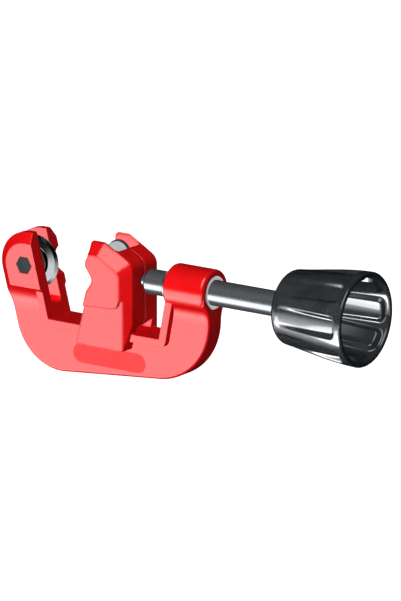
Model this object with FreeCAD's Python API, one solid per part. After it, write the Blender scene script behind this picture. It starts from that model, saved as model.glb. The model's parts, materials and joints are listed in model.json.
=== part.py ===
import FreeCAD, Part
import math
import os

from FreeCAD import Vector

# A screw-feed pipe cutter: a C-shaped casting holds the cutting wheel in a fork at one end and a
# bushed boss at the other. A two-half carriage with two rollers rides the rail between them, and a
# spindle with a large fluted knob pushes the carriage and the pipe against the wheel.
# Frame: millimetres, +X along the spindle towards the knob, +Y away from the maker's mark side
# (the label is on the -Y side), +Z up out of the open side. Origin: centre of the cutting wheel.

# ---------------------------------------------------------------- driving dimensions
# casting, seen from the side
head_radius = 13.6           # outer radius of the fork around the wheel axle
arm_lean = 15.0              # degrees that the fork's outer edge leans back
face_lean = 14.4             # degrees that the fork's pipe-side face leans back
face_at_axis = 6.0           # X of that face at axle height
rail_top = -21.6             # Z of the rail that the carriage slides on
base_depth = 45.8            # depth of the underside below the axle, measured at X = 0
base_slope = 5.3             # degrees that the underside rises towards the knob end
heel_radius = 23.0           # lower corner under the fork
toe_radius = 27.4            # lower corner under the boss
boss_end = 90.7              # X of the outer face of the boss
boss_length = 20.3
boss_wall = 2.6              # metal round the bush
post_setback = 2.5           # how far the post leaves the rail short of the boss's inner face
post_lean = 11.0             # degrees that the post's inner face leans towards the knob

# casting, across its width
fork_width = 18.2
fork_gap = 6.6
fork_chamfer_run = 4.3
fork_chamfer_depth = 3.0
slot_depth = 5.25            # room under the cutting wheel
slot_floor_radius = 2.2
web_width = 10.0
web_edge_radius = 1.3
rail_width = 16.0
rail_thickness = 3.3
rail_corner_radius = 3.0
cheek_foot = -9.4            # Z where the fork cheeks start to neck down to the web
cheek_neck_end = -20.0
boss_foot = -4.6
boss_neck_end = -13.0
boss_edge_radius = 1.6
notch_radius = 6.7           # relief in the rear cheek beside the wheel
notch_centre = (9.5, 0.65)

# label recess on the front of the web
label_left = 22.3
label_length = 36.7
label_height = 8.0
label_rise = 7.63            # label's middle line above the underside, at the label's middle
label_depth = 0.5

# cutting wheel and axle
wheel_diameter = 22.5
wheel_bevel = 1.45           # height of the ground cutting bevel
wheel_disc_thickness = 2.6
wheel_disc_taper = 0.55      # how much thinner each flank is where the bevel begins
wheel_edge_flat = 0.08
hub_radius = 6.7
hub_corner_radius = 0.5
hub_root_radius = 0.4
needle_diameter = 1.2
needle_spacing = 1.05        # pitch of the needles in needle diameters, at least
needle_end_gap = 0.3
axle_diameter = 5.0
axle_end_recess = 0.4        # how far the axle stops short of the rear cheek's face
sleeve_wall = 0.9
axle_head_flats = 7.0
axle_head_height = 3.0
axle_nut_diameter = 8.0
axle_nut_height = 2.6
axle_nut_recess = 0.2
nut_slot = (1.2, 1.2)        # width and depth
thrust_washer_radius = 6.0
thrust_washer_thickness = 0.35

# rollers
roller_x = 37.2
roller_rise = 7.5            # Z of the roller centres above and below the axis
roller_radius = 5.0
roller_edge_radius = 0.4
roller_length = 13.4
roller_washer_overhang = 0.65
roller_washer_thickness = 0.8
roller_pin_diameter = 3.0
roller_pin_chamfer = 0.3
roller_pin_end_gap = 0.1
roller_needle_diameter = 1.5
roller_pin_seat = 3.0        # depth of the blind pin holes in each half

# carriage; X values in this block are measured from the roller centres
face_offset = 18.1           # to the face that the spindle pushes
carriage_width = 27.5        # over the raised side pads
carriage_top = 15.9
pad_height = 1.35            # how far the side pads stand out from the skirts
ridge_half_width = 8.7       # half width at the top edge, where the side chamfers start
top_chamfer = 5.0            # how far the top comes down by the outer face of the pads
end_chamfer = 3.9            # how far the spindle end comes in there
crown_end = 4.4              # where the flat top turns into the slope
shoulder_z = 8.0             # Z where the slope meets the spindle face
skirt_toe_radius = 1.2
chin = (-2.0, -4.8, 2.5)     # corners of the pipe side: X, Z, radius
waist = (1.5, 0.2, 3.2)
lip = (-2.7, 6.2, 2.5)
ridge_nose = (-2.9, 10.4, 3.0)
pad_nose = (-2.0, 8.4, 1.5)
ledge_z = -11.3              # lower edge of the side pads at their pipe end
ledge_rise = 1.0             # how much higher it is at the spindle end
ledge_left = -3.8
ledge_radius = 3.2
lean_start = -17.5           # below this the spindle end leans back under itself
lean_run = 2.7
lead_in = (5.5, 4.0)         # slope inside the tunnel mouth, along X and Z
lead_in_half_width = 5.2
front_relief = -4.9          # where the block between the skirts starts
pocket_right = 10.2
pocket_side_gap = 0.95       # room beside the roller washers
pocket_floor_gap = 0.85      # room under them
pocket_corner_radius = 2.0
hook_thickness = 3.2
slide_clearance = 0.3
hook_clearance = 0.4         # between the web and the hooks under the rail
parting_gap = 0.04
screw_places = ((12.7, 6.4), (13.2, -9.6), (1.4, -17.7))
screw_diameter = 2.5
screw_hole_clearance = 0.1
screw_head_diameter = 4.5
screw_head_clearance = 0.2
screw_head_height = 2.0
screw_socket = (2.5, 1.1)    # across flats, depth
screw_length = 15.0
screw_hole_depth = 0.5       # beyond the screw's end
screw_head_depth = 5.2       # from the outer face of the rear pad to the head's seat

# spindle and bush
spindle_diameter = 10.6
spindle_chamfer = 1.3
spindle_standoff = 2.0       # from the carriage's face to the full diameter
tip_diameter = 5.0
tip_chamfer = (0.3, 0.4)     # along X and in radius
tip_reach = 4.7              # how far the tip enters the carriage
clip_setback = 0.7           # from the tip's end to its groove
clip_thickness = 1.0
clip_groove_play = 0.1
clip_groove_diameter = 3.8
clip_diameter = 7.6
clip_opening = 2.4
clip_chamber_diameter = 9.0
clip_chamber_length = 4.0
clip_chamber_lip = 2.3       # metal between the chamber and the carriage's face
thrust_disc_clearance = 0.1
thrust_disc_end_gap = 0.02
bush_wall = 1.7
bush_inner_overhang = 2.1    # beyond the boss, towards the carriage
bush_outer_overhang = 0.2
bush_chamfer = 0.5
bush_lip_chamfer = 0.4
running_clearance = 0.05

# knob
knob_reach = 36.7            # from the boss to the knob
knob_length = 37.2
knob_small_diameter = 30.6
knob_large_diameter = 39.4
knob_swell = ((0.24, 0.24), (0.61, 0.80))  # share of the length, share of the growth
knob_swell_radii = (25.0, 60.0)
knob_shoulder_radius = 2.5
knob_lip_radius = 0.9
knob_wall = 2.2
knob_face = 3.0              # thickness between the spindle side and the insert
knob_floor_lip = 0.6         # plastic beyond the insert
hollow_corner_radius = 2.5
flute_count = 8
flute_width = 8.6
flute_margin = (4.6, 4.9)    # from the spindle side, from the mouth
flute_depth = 2.3
flute_run_out = 0.05
pad_corner_radius = 2.5
drive_flats = 8.0
drive_length = 9.0
insert_diameter = 16.0
knob_screw_diameter = 4.0
knob_screw_head_diameter = 7.0
knob_screw_head_height = 2.6
knob_screw_socket = (3.0, 1.6)
knob_screw_length = 10.0
knob_washer_diameter = 12.0
knob_washer_thickness = 1.0

# ---------------------------------------------------------------- derived sizes
half_fork = fork_width / 2
half_gap = fork_gap / 2
half_web = web_width / 2
half_rail = rail_width / 2
half_carriage = carriage_width / 2
half_skirt = half_carriage - pad_height
face_slope = math.tan(math.radians(face_lean))
arm_slope = math.tan(math.radians(arm_lean))
post_slope = math.tan(math.radians(post_lean))
base_rise = math.tan(math.radians(base_slope))
boss_start = boss_end - boss_length
post_foot = boss_start - post_setback
arm_offset = head_radius / math.cos(math.radians(arm_lean))
slot_floor = -wheel_diameter / 2 - slot_depth
sleeve_radius = axle_diameter / 2 + sleeve_wall
hub_half = half_gap - thrust_washer_thickness - running_clearance
roller_bore_radius = roller_pin_diameter / 2 + roller_needle_diameter + 2 * running_clearance
roller_washer_radius = roller_radius + roller_washer_overhang
roller_stack = roller_length / 2 + running_clearance + roller_washer_thickness
pocket_half_width = roller_stack + pocket_side_gap
pocket_floor = -roller_rise - roller_washer_radius - pocket_floor_gap
carriage_face = roller_x + face_offset
pad_end = carriage_face - end_chamfer
tunnel_roof = rail_top + slide_clearance
tunnel_foot = rail_top - rail_thickness - slide_clearance
skirt_bottom = tunnel_foot - hook_thickness
spindle_start = carriage_face + spindle_standoff
tip_start = carriage_face - tip_reach
clip_groove_at = tip_start + clip_setback
clip_chamber_end = carriage_face - clip_chamber_lip
clip_chamber_start = clip_chamber_end - clip_chamber_length
bush_radius = spindle_diameter / 2 + bush_wall
boss_radius = bush_radius + boss_wall
knob_start = boss_end + knob_reach
knob_end = knob_start + knob_length
drive_start = knob_start + knob_face
drive_end = drive_start + drive_length
knob_floor = drive_end + knob_floor_lip
flute_start = knob_start + flute_margin[0]
flute_end = knob_end - flute_margin[1]
far = 300.0
parts = {}


def face_x(z):
    """X of the fork's leaning pipe-side face at height z."""
    return face_at_axis - face_slope * z


def arm_x(z):
    """X of the fork's leaning outer edge at height z."""
    return -arm_offset - arm_slope * z


def post_x(z):
    """X of the boss post's inner face at height z."""
    return post_foot + post_slope * (z - rail_top)


def base_z(x):
    """Z of the sloping underside at x."""
    return -base_depth + base_rise * x


# ---------------------------------------------------------------- shape helpers
def rounded_wire(corners, place):
    """Closed wire through corners (u, v, radius), each rounded by a tangent arc."""
    count = len(corners)
    ends = []
    for index, (u, v, radius) in enumerate(corners):
        here = Vector(u, v, 0)
        back = (Vector(*corners[index - 1][:2], 0) - here).normalize()
        ahead = (Vector(*corners[(index + 1) % count][:2], 0) - here).normalize()
        if radius == 0:
            ends.append((here, None, here))
            continue
        half = back.getAngle(ahead) / 2
        reach = radius / math.tan(half)
        middle = here + (back + ahead).normalize() * (radius / math.sin(half) - radius)
        ends.append((here + back * reach, middle, here + ahead * reach))
    edges = []
    for index, (start, middle, end) in enumerate(ends):
        if middle is not None:
            arc = Part.Arc(place(start.x, start.y), place(middle.x, middle.y), place(end.x, end.y))
            edges.append(arc.toShape())
        following = ends[(index + 1) % count][0]
        if (following - end).Length > 1e-6:
            edges.append(Part.makeLine(place(end.x, end.y), place(following.x, following.y)))
    return Part.Wire(edges)


def side_plate(corners, y_from, y_to):
    """Plate with its outline given in X and Z, from y_from to y_to."""
    wire = rounded_wire(corners, lambda x, z: Vector(x, y_from, z))
    return Part.Face(wire).extrude(Vector(0, y_to - y_from, 0))


def end_bar(corners, x_from, x_to):
    """Bar with its section given in Y and Z, from x_from to x_to."""
    wire = rounded_wire(corners, lambda y, z: Vector(x_from, y, z))
    return Part.Face(wire).extrude(Vector(x_to - x_from, 0, 0))


def top_plate(corners, z_from, z_to):
    """Plate with its outline given in X and Y, from z_from to z_to."""
    wire = rounded_wire(corners, lambda x, y: Vector(x, y, z_from))
    return Part.Face(wire).extrude(Vector(0, 0, z_to - z_from))


def box(x_from, x_to, y_from, y_to, z_from, z_to):
    """Plain block between two corners."""
    corner = Vector(x_from, y_from, z_from)
    return Part.makeBox(x_to - x_from, y_to - y_from, z_to - z_from, corner)


def rod_x(radius, x_from, x_to, y=0.0, z=0.0):
    """Round bar along X."""
    return Part.makeCylinder(radius, x_to - x_from, Vector(x_from, y, z), Vector(1, 0, 0))


def rod_y(radius, y_from, y_to, x=0.0, z=0.0):
    """Round bar along Y."""
    return Part.makeCylinder(radius, y_to - y_from, Vector(x, y_from, z), Vector(0, 1, 0))


def turned_x(corners):
    """Solid of revolution about the spindle axis from a section in X and radius."""
    wire = rounded_wire(corners, lambda x, radius: Vector(x, 0, radius))
    return Part.Face(wire).revolve(Vector(0, 0, 0), Vector(1, 0, 0), 360)


def turned_y(corners, x=0.0, z=0.0):
    """Solid of revolution about an axis along Y from a section in radius and Y."""
    wire = rounded_wire(corners, lambda radius, y: Vector(x + radius, y, z))
    return Part.Face(wire).revolve(Vector(x, 0, z), Vector(0, 1, 0), 360)


def hexagon_y(flats, y_from, y_to, x=0.0, z=0.0):
    """Hexagonal bar along Y with two corners pointing along X."""
    reach = flats / math.sqrt(3)
    corners = []
    for step in range(6):
        angle = math.radians(60 * step)
        corners.append((x + reach * math.cos(angle), z + reach * math.sin(angle), 0))
    return side_plate(corners, y_from, y_to)


def hexagon_x(flats, x_from, x_to):
    """Hexagonal bar along the spindle axis."""
    reach = flats / math.sqrt(3)
    corners = []
    for step in range(6):
        angle = math.radians(60 * step)
        corners.append((reach * math.cos(angle), reach * math.sin(angle), 0))
    return end_bar(corners, x_from, x_to)


def mirrored(shape):
    """The same shape on the other side of the middle plane."""
    return shape.mirror(Vector(0, 0, 0), Vector(0, 1, 0))


def both_sides(shape):
    """A shape and its mirror image across the middle plane."""
    return shape.fuse(mirrored(shape))


def needles_that_fit(pitch_radius, diameter):
    """How many needle rollers go round a circle with a little room between them."""
    return math.floor(2 * math.pi * pitch_radius / (diameter * needle_spacing))


def ring_of_rods(radius, pitch_radius, count, y_from, y_to, x=0.0, z=0.0):
    """Needle rollers along Y, evenly spaced round a circle."""
    rods = []
    for step in range(count):
        angle = 2 * math.pi * step / count
        rod_at = (x + pitch_radius * math.cos(angle), z + pitch_radius * math.sin(angle))
        rods.append(rod_y(radius, y_from, y_to, *rod_at))
    return Part.makeCompound(rods)


# ---------------------------------------------------------------- frame casting
def neck_cutter(half_top, z_top, z_end, x_from, x_to):
    """What is taken off one side so that a wide head necks down to the web in a concave arc."""
    drop = half_top - half_web
    run = z_top - z_end
    radius = (drop * drop + run * run) / (2 * drop)
    sweep = math.atan2(run, radius - drop)
    centre_y = half_web + radius
    middle = Vector(x_from, centre_y - radius * math.cos(sweep / 2), z_end + radius * math.sin(sweep / 2))
    start = Vector(x_from, half_top, z_top)
    end = Vector(x_from, half_web, z_end)
    bottom = Vector(x_from, half_web, -far)
    outer_bottom = Vector(x_from, far, -far)
    outer_top = Vector(x_from, far, z_top)
    edges = [
        Part.Arc(start, middle, end).toShape(),
        Part.makeLine(end, bottom),
        Part.makeLine(bottom, outer_bottom),
        Part.makeLine(outer_bottom, outer_top),
        Part.makeLine(outer_top, start),
    ]
    return Part.Face(Part.Wire(edges)).extrude(Vector(x_to - x_from, 0, 0))


def fork_chamfer():
    """What is taken off one outer rim of the fork: a cone round the axle and its tangent flat."""
    inner = head_radius - fork_chamfer_run
    over = fork_chamfer_depth
    run_over = over * fork_chamfer_run / fork_chamfer_depth
    y_foot = half_fork - fork_chamfer_depth
    section = [
        (inner - run_over, half_fork + over, 0),
        (head_radius + run_over, half_fork + over, 0),
        (head_radius + run_over, y_foot - over, 0),
    ]
    wire = rounded_wire(section, lambda radius, y: Vector(radius, y, 0))
    cone = Part.Face(wire).revolve(Vector(0, 0, 0), Vector(0, 1, 0), -(90 + arm_lean))
    cone.rotate(Vector(0, 0, 0), Vector(0, 1, 0), -90)
    lean = Part.Face(wire).extrude(Vector(0, 0, far))
    lean.rotate(Vector(0, 0, 0), Vector(0, 1, 0), 180 - arm_lean)
    crown = Part.Face(wire).extrude(Vector(0, 0, -far))
    crown.rotate(Vector(0, 0, 0), Vector(0, 1, 0), -90)
    return [cone, lean, crown]


def make_frame_casting():
    """The C frame: fork, web, rail flange, post and boss in one casting."""
    top_z = head_radius
    toe_x = boss_end
    heel_z = (-base_depth - base_rise * arm_offset) / (1 + base_rise * arm_slope)
    outline = [
        (face_x(top_z), top_z, 0),
        (arm_x(top_z), top_z, head_radius),
        (arm_x(heel_z), heel_z, heel_radius),
        (toe_x, base_z(toe_x), toe_radius),
        (toe_x, 0, 0),
        (post_x(0), 0, 0),
        (post_foot, rail_top, 0),
        (face_x(rail_top), rail_top, 0),
    ]
    body = side_plate(outline, -half_fork, half_fork)
    split_x = (face_x(rail_top) + post_foot) / 2
    boss_half = math.sqrt(boss_radius**2 - boss_foot**2)
    fork_neck = neck_cutter(half_fork, cheek_foot, cheek_neck_end, -far, split_x)
    boss_neck = neck_cutter(boss_half, boss_foot, boss_neck_end, split_x, far)
    boss_side = box(split_x, far, boss_half, far, boss_foot, far)
    for cutter in (fork_neck, boss_neck.fuse(boss_side)):
        body = body.cut(both_sides(cutter))
    for piece in fork_chamfer():
        body = body.cut(both_sides(piece))
    rim = [edge for edge in body.Edges if is_web_rim(edge)]
    body = body.makeFillet(web_edge_radius, rim)

    offset = rail_thickness / math.cos(math.radians(face_lean))
    flange_foot = rail_top - rail_thickness
    flange = [
        (face_x(cheek_foot), cheek_foot, 0),
        (face_x(cheek_foot) - offset, cheek_foot, 0),
        (face_x(flange_foot) - offset, flange_foot, rail_corner_radius),
        (post_x(flange_foot) + offset, flange_foot, rail_corner_radius),
        (post_x(boss_foot) + offset, boss_foot, 0),
        (post_x(boss_foot), boss_foot, 0),
        (post_foot, rail_top, 0),
        (face_x(rail_top), rail_top, 0),
    ]
    body = body.fuse(side_plate(flange, -half_rail, half_rail))
    boss = rod_x(boss_radius, boss_start, boss_end)
    boss = boss.makeFillet(boss_edge_radius, [edge for edge in boss.Edges if edge.Closed])
    body = body.fuse(boss)

    slot = [
        (-half_gap, slot_floor, slot_floor_radius),
        (half_gap, slot_floor, slot_floor_radius),
        (half_gap, far, 0),
        (-half_gap, far, 0),
    ]
    body = body.cut(end_bar(slot, -far, split_x))
    body = body.cut(rod_y(axle_diameter / 2, -half_fork, half_fork))
    body = body.cut(hexagon_y(axle_head_flats, -half_fork, -half_fork + axle_head_height))
    body = body.cut(rod_y(axle_nut_diameter / 2, half_fork - axle_nut_height, half_fork))
    body = body.cut(rod_y(notch_radius, half_gap, half_fork, *notch_centre))
    body = body.cut(rod_x(bush_radius, boss_start, boss_end))
    body = body.cut(label_shape(label_depth))
    return body.removeSplitter()


def is_web_rim(edge):
    """True for the outer edges of the web, from the fork's foot round to the boss post."""
    middle = edge.valueAt((edge.FirstParameter + edge.LastParameter) / 2)
    on_side = abs(abs(middle.y) - half_web) < 1e-3
    heel = middle.x < 0 and middle.z < cheek_neck_end
    under = middle.z < rail_top - 2 * rail_thickness
    toe = middle.x > boss_start + half_web and middle.z < boss_neck_end
    return on_side and (heel or under or toe) and edge.BoundBox.YLength < half_web


def label_shape(depth):
    """Stadium-shaped inlay on the front of the web."""
    radius = label_height / 2
    label_right = label_left + label_length
    centre_z = base_z((label_left + label_right) / 2) + label_rise
    rounding = radius * 0.997
    corners = [
        (label_left, centre_z - radius, rounding),
        (label_right, centre_z - radius, rounding),
        (label_right, centre_z + radius, rounding),
        (label_left, centre_z + radius, rounding),
    ]
    return side_plate(corners, -half_web, -half_web + depth)


parts["frame_casting"] = make_frame_casting()
parts["front_label"] = label_shape(label_depth)


# ---------------------------------------------------------------- wheel and axle
def make_axle_bolt():
    """Hexagon-headed axle bolt, its head flush in the front cheek."""
    head = hexagon_y(axle_head_flats, -half_fork, -half_fork + axle_head_height)
    shank = rod_y(axle_diameter / 2, -half_fork + axle_head_height, half_fork - axle_end_recess)
    return head.fuse(shank).removeSplitter()


def make_axle_nut():
    """Round slotted nut let into the rear cheek."""
    start = half_fork - axle_nut_height
    nut = rod_y(axle_nut_diameter / 2, start, half_fork - axle_nut_recess)
    nut = nut.cut(rod_y(axle_diameter / 2, start, half_fork))
    width, depth = nut_slot
    return nut.cut(box(-far, far, half_fork - depth, half_fork, -width / 2, width / 2))


def make_wheel_sleeve():
    """Hardened sleeve on the axle, clamped between the cheeks as the wheel's inner race."""
    sleeve = rod_y(sleeve_radius, -half_gap, half_gap)
    return sleeve.cut(rod_y(axle_diameter / 2, -half_gap, half_gap))


def make_wheel_washers():
    """Two thin thrust washers between the hub and the cheeks."""
    washer = rod_y(thrust_washer_radius, hub_half + running_clearance, half_gap)
    washer = washer.cut(rod_y(sleeve_radius, 0, half_gap))
    return Part.makeCompound([washer, mirrored(washer)])


wheel_bore_radius = sleeve_radius + running_clearance + needle_diameter


def make_cutter_wheel():
    """Cutting wheel with a thick hub, flat flanks and a ground double bevel."""
    rim = wheel_diameter / 2
    disc_radius = rim - wheel_bevel
    disc_half = wheel_disc_thickness / 2
    taper_half = disc_half - wheel_disc_taper
    edge_half = wheel_edge_flat / 2
    section = [
        (wheel_bore_radius, -hub_half, 0),
        (hub_radius, -hub_half, hub_corner_radius),
        (hub_radius, -disc_half, hub_root_radius),
        (disc_radius, -taper_half, 0),
        (rim, -edge_half, 0),
        (rim, edge_half, 0),
        (disc_radius, taper_half, 0),
        (hub_radius, disc_half, hub_root_radius),
        (hub_radius, hub_half, hub_corner_radius),
        (wheel_bore_radius, hub_half, 0),
    ]
    return turned_y(section)


needle_half = hub_half - needle_end_gap
wheel_pitch_radius = sleeve_radius + running_clearance + needle_diameter / 2
wheel_needle_count = needles_that_fit(wheel_pitch_radius, needle_diameter)
parts["axle_bolt"] = make_axle_bolt()
parts["axle_nut"] = make_axle_nut()
parts["wheel_sleeve"] = make_wheel_sleeve()
parts["wheel_thrust_washers"] = make_wheel_washers()
parts["cutter_wheel"] = make_cutter_wheel()
parts["wheel_needles"] = ring_of_rods(
    needle_diameter / 2, wheel_pitch_radius, wheel_needle_count, -needle_half, needle_half
)


# ---------------------------------------------------------------- carriage
def pipe_side(nose):
    """Corners of the carriage's pipe side, from the skirt up to the finger-shaped nose."""
    toe = (chin[0] + arm_slope * (skirt_bottom - chin[1]), skirt_bottom, skirt_toe_radius)
    return [(roller_x + x, z, radius) for x, z, radius in (toe, chin, waist, lip, nose)]


def ridge_outline():
    """Side view of the carriage at its full size, inside the side chamfers."""
    return [
        (roller_x - 3.0, carriage_top, 2.2),
        (roller_x + crown_end, carriage_top, 3.5),
        (carriage_face, shoulder_z, 5.0),
        (carriage_face, skirt_bottom, 0),
    ] + pipe_side(ridge_nose)


def pad_outline():
    """Side view at the outer face of the side pads, where the chamfers have come in."""
    pad_top = carriage_top - top_chamfer
    return [
        (roller_x - 0.6, pad_top, 1.0),
        (roller_x + crown_end - 0.6, pad_top, 2.0),
        (pad_end, shoulder_z - 0.6 * top_chamfer, 3.0),
        (pad_end, skirt_bottom, 0),
    ] + pipe_side(pad_nose)


def make_carriage_blank():
    """The +Y half of the carriage before its holes."""
    core = side_plate(ridge_outline(), 0, ridge_half_width)
    ridge = rounded_wire(ridge_outline(), lambda x, z: Vector(x, ridge_half_width, z))
    rim = rounded_wire(pad_outline(), lambda x, z: Vector(x, half_carriage, z))
    body = core.fuse(Part.makeLoft([ridge, rim], True, True))
    ledge_end_z = ledge_z + ledge_rise
    ledge_top = ledge_end_z + ledge_radius
    below_ledge = [
        (-far, ledge_z, 0),
        (roller_x + ledge_left, ledge_z, 0),
        (pad_end, ledge_end_z, ledge_radius),
        (pad_end, ledge_top, 0),
        (far, ledge_top, 0),
        (far, -far, 0),
        (-far, -far, 0),
    ]
    body = body.cut(side_plate(below_ledge, half_skirt, far))
    lean_slope = lean_run / (skirt_bottom - lean_start)
    well_below = 2 * skirt_bottom
    end_lean = [
        (carriage_face, lean_start, 0),
        (carriage_face + lean_run, lean_start, 0),
        (carriage_face + lean_run, well_below, 0),
        (carriage_face + lean_slope * (lean_start - well_below), well_below, 0),
    ]
    return body.cut(side_plate(end_lean, -1, far))


def make_carriage_half():
    """One half of the carriage, with the roller pocket, the rail tunnel and the spindle seat."""
    body = make_carriage_blank()
    pocket = [
        (-far, -pocket_half_width, 0),
        (roller_x + pocket_right, -pocket_half_width, pocket_corner_radius),
        (roller_x + pocket_right, pocket_half_width, pocket_corner_radius),
        (-far, pocket_half_width, 0),
    ]
    body = body.cut(top_plate(pocket, pocket_floor, far))
    tunnel_half = half_rail + slide_clearance
    body = body.cut(box(-far, far, -1, tunnel_half, tunnel_foot, tunnel_roof))
    body = body.cut(box(-far, far, -1, half_web + hook_clearance, -far, tunnel_roof))
    run, rise = lead_in
    mouth = [
        (carriage_face - run, tunnel_roof, 0),
        (carriage_face + run, tunnel_roof + 2 * rise, 0),
        (carriage_face + run, tunnel_roof, 0),
    ]
    body = body.cut(side_plate(mouth, -1, lead_in_half_width))
    body = body.cut(box(-far, roller_x + front_relief, -1, tunnel_half, tunnel_foot, pocket_floor))
    tip_hole = tip_diameter / 2 + running_clearance
    body = body.cut(rod_x(tip_hole, clip_chamber_start, carriage_face + 1))
    body = body.cut(rod_x(clip_chamber_diameter / 2, clip_chamber_start, clip_chamber_end))
    for z in (roller_rise, -roller_rise):
        seat_end = pocket_half_width + roller_pin_seat
        body = body.cut(rod_y(roller_pin_diameter / 2, 0, seat_end, roller_x, z))
    return body.cut(box(-far, far, -1, parting_gap / 2, -far, far)).removeSplitter()


screw_seat = half_carriage - screw_head_depth
screw_tip = screw_seat - screw_length


def screw_hole(x, z):
    """Clearance hole and head seat for one carriage screw in the rear half."""
    hole = rod_y(screw_diameter / 2 + screw_hole_clearance, 0, half_carriage, x, z)
    head_hole_radius = screw_head_diameter / 2 + screw_head_clearance
    return hole.fuse(rod_y(head_hole_radius, screw_seat, half_carriage + 1, x, z))


def make_carriage_screws():
    """Three socket-headed screws that hold the two halves together from the rear."""
    screws = []
    head_end = screw_seat + screw_head_height
    flats, depth = screw_socket
    for offset, z in screw_places:
        x = roller_x + offset
        screw = rod_y(screw_diameter / 2, screw_tip, screw_seat, x, z)
        screw = screw.fuse(rod_y(screw_head_diameter / 2, screw_seat, head_end, x, z))
        socket = hexagon_y(flats, head_end - depth, head_end, x, z)
        screws.append(screw.cut(socket).removeSplitter())
    return Part.makeCompound(screws)


rear_half = make_carriage_half()
front_half = mirrored(rear_half)
for offset, z in screw_places:
    rear_half = rear_half.cut(screw_hole(roller_x + offset, z))
    thread = rod_y(screw_diameter / 2, screw_tip - screw_hole_depth, 0, roller_x + offset, z)
    front_half = front_half.cut(thread)
parts["carriage_rear_half"] = rear_half
parts["carriage_front_half"] = front_half
parts["carriage_screws"] = make_carriage_screws()


# ---------------------------------------------------------------- rollers
def make_roller(z):
    """Hardened guide roller with rounded ends."""
    half = roller_length / 2
    section = [
        (roller_bore_radius, -half, 0),
        (roller_radius, -half, roller_edge_radius),
        (roller_radius, half, roller_edge_radius),
        (roller_bore_radius, half, 0),
    ]
    return turned_y(section, roller_x, z)


def make_roller_pin(z):
    """Pin held in blind holes in both halves."""
    half = pocket_half_width + roller_pin_seat - roller_pin_end_gap
    pin = rod_y(roller_pin_diameter / 2, -half, half, roller_x, z)
    return pin.makeChamfer(roller_pin_chamfer, [edge for edge in pin.Edges if edge.Closed])


def make_roller_washers(z):
    """Two dark side washers that keep the needles in and guide the roller."""
    start = roller_stack - roller_washer_thickness
    washer = rod_y(roller_washer_radius, start, roller_stack, roller_x, z)
    washer = washer.cut(rod_y(roller_pin_diameter / 2, start, roller_stack, roller_x, z))
    return Part.makeCompound([washer, mirrored(washer)])


roller_pitch_radius = roller_bore_radius - roller_needle_diameter / 2
roller_needle_count = needles_that_fit(roller_pitch_radius, roller_needle_diameter)
needle_reach = roller_length / 2 - needle_end_gap
for name, roller_z in (("upper", roller_rise), ("lower", -roller_rise)):
    parts[name + "_roller"] = make_roller(roller_z)
    parts[name + "_roller_pin"] = make_roller_pin(roller_z)
    parts[name + "_roller_washers"] = make_roller_washers(roller_z)
    parts[name + "_roller_needles"] = ring_of_rods(
        roller_needle_diameter / 2,
        roller_pitch_radius,
        roller_needle_count,
        -needle_reach,
        needle_reach,
        roller_x,
        roller_z,
    )


# ---------------------------------------------------------------- spindle and bush
def make_spindle():
    """Spindle with a captive tip at the carriage and a hexagon drive in the knob."""
    radius = spindle_diameter / 2
    tip_radius = tip_diameter / 2
    groove_radius = clip_groove_diameter / 2
    groove_end = clip_groove_at + clip_thickness + clip_groove_play
    chamfer_x, chamfer_radius = tip_chamfer
    section = [
        (tip_start, 0, 0),
        (tip_start, tip_radius - chamfer_radius, 0),
        (tip_start + chamfer_x, tip_radius, 0),
        (clip_groove_at, tip_radius, 0),
        (clip_groove_at, groove_radius, 0),
        (groove_end, groove_radius, 0),
        (groove_end, tip_radius, 0),
        (spindle_start, tip_radius, 0),
        (spindle_start, radius - spindle_chamfer, 0),
        (spindle_start + spindle_chamfer, radius, 0),
        (drive_start, radius, 0),
        (drive_start, 0, 0),
    ]
    body = turned_x(section).fuse(hexagon_x(drive_flats, drive_start, drive_end))
    screw_end = drive_end + knob_washer_thickness - knob_screw_length
    return body.cut(rod_x(knob_screw_diameter / 2, screw_end, drive_end)).removeSplitter()


def make_spindle_clip():
    """Retaining clip in the tip's groove, open on one side."""
    clip_end = clip_groove_at + clip_thickness
    clip = rod_x(clip_diameter / 2, clip_groove_at, clip_end)
    clip = clip.cut(rod_x(clip_groove_diameter / 2, clip_groove_at, clip_end))
    return clip.cut(box(clip_groove_at, clip_end, -clip_opening / 2, clip_opening / 2, 0, far))


def make_spindle_bush():
    """Bright bush in the boss that carries the spindle, chamfered at both mouths."""
    bore = spindle_diameter / 2 + running_clearance
    start = boss_start - bush_inner_overhang
    end = boss_end + bush_outer_overhang
    section = [
        (start, bore + bush_chamfer, 0),
        (start, bush_radius - bush_chamfer, 0),
        (start + bush_chamfer, bush_radius, 0),
        (end - bush_lip_chamfer, bush_radius, 0),
        (end, bush_radius - bush_lip_chamfer, 0),
        (end, bore + bush_chamfer, 0),
        (end - bush_chamfer, bore, 0),
        (start + bush_chamfer, bore, 0),
    ]
    return turned_x(section)


def make_thrust_disc():
    """Hard disc at the bottom of the clip chamber that the spindle's tip pushes."""
    radius = clip_chamber_diameter / 2 - thrust_disc_clearance
    return rod_x(radius, clip_chamber_start, tip_start - thrust_disc_end_gap)


parts["thrust_disc"] = make_thrust_disc()
parts["spindle"] = make_spindle()
parts["spindle_clip"] = make_spindle_clip()
parts["spindle_bush"] = make_spindle_bush()


# ---------------------------------------------------------------- knob
def knob_stations():
    """Corners of the knob's swelling outer profile: X and radius."""
    small = knob_small_diameter / 2
    growth = knob_large_diameter / 2 - small
    shares = [(0, 0), *knob_swell, (1, 1)]
    return [(knob_start + way * knob_length, small + part * growth) for way, part in shares]


def knob_radius(x):
    """Outer radius of the knob at x, on the straight runs of its profile."""
    stations = knob_stations()
    for (x_low, low), (x_high, high) in zip(stations, stations[1:]):
        if x <= x_high:
            return low + (high - low) * (x - x_low) / (x_high - x_low)
    return stations[-1][1]


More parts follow.
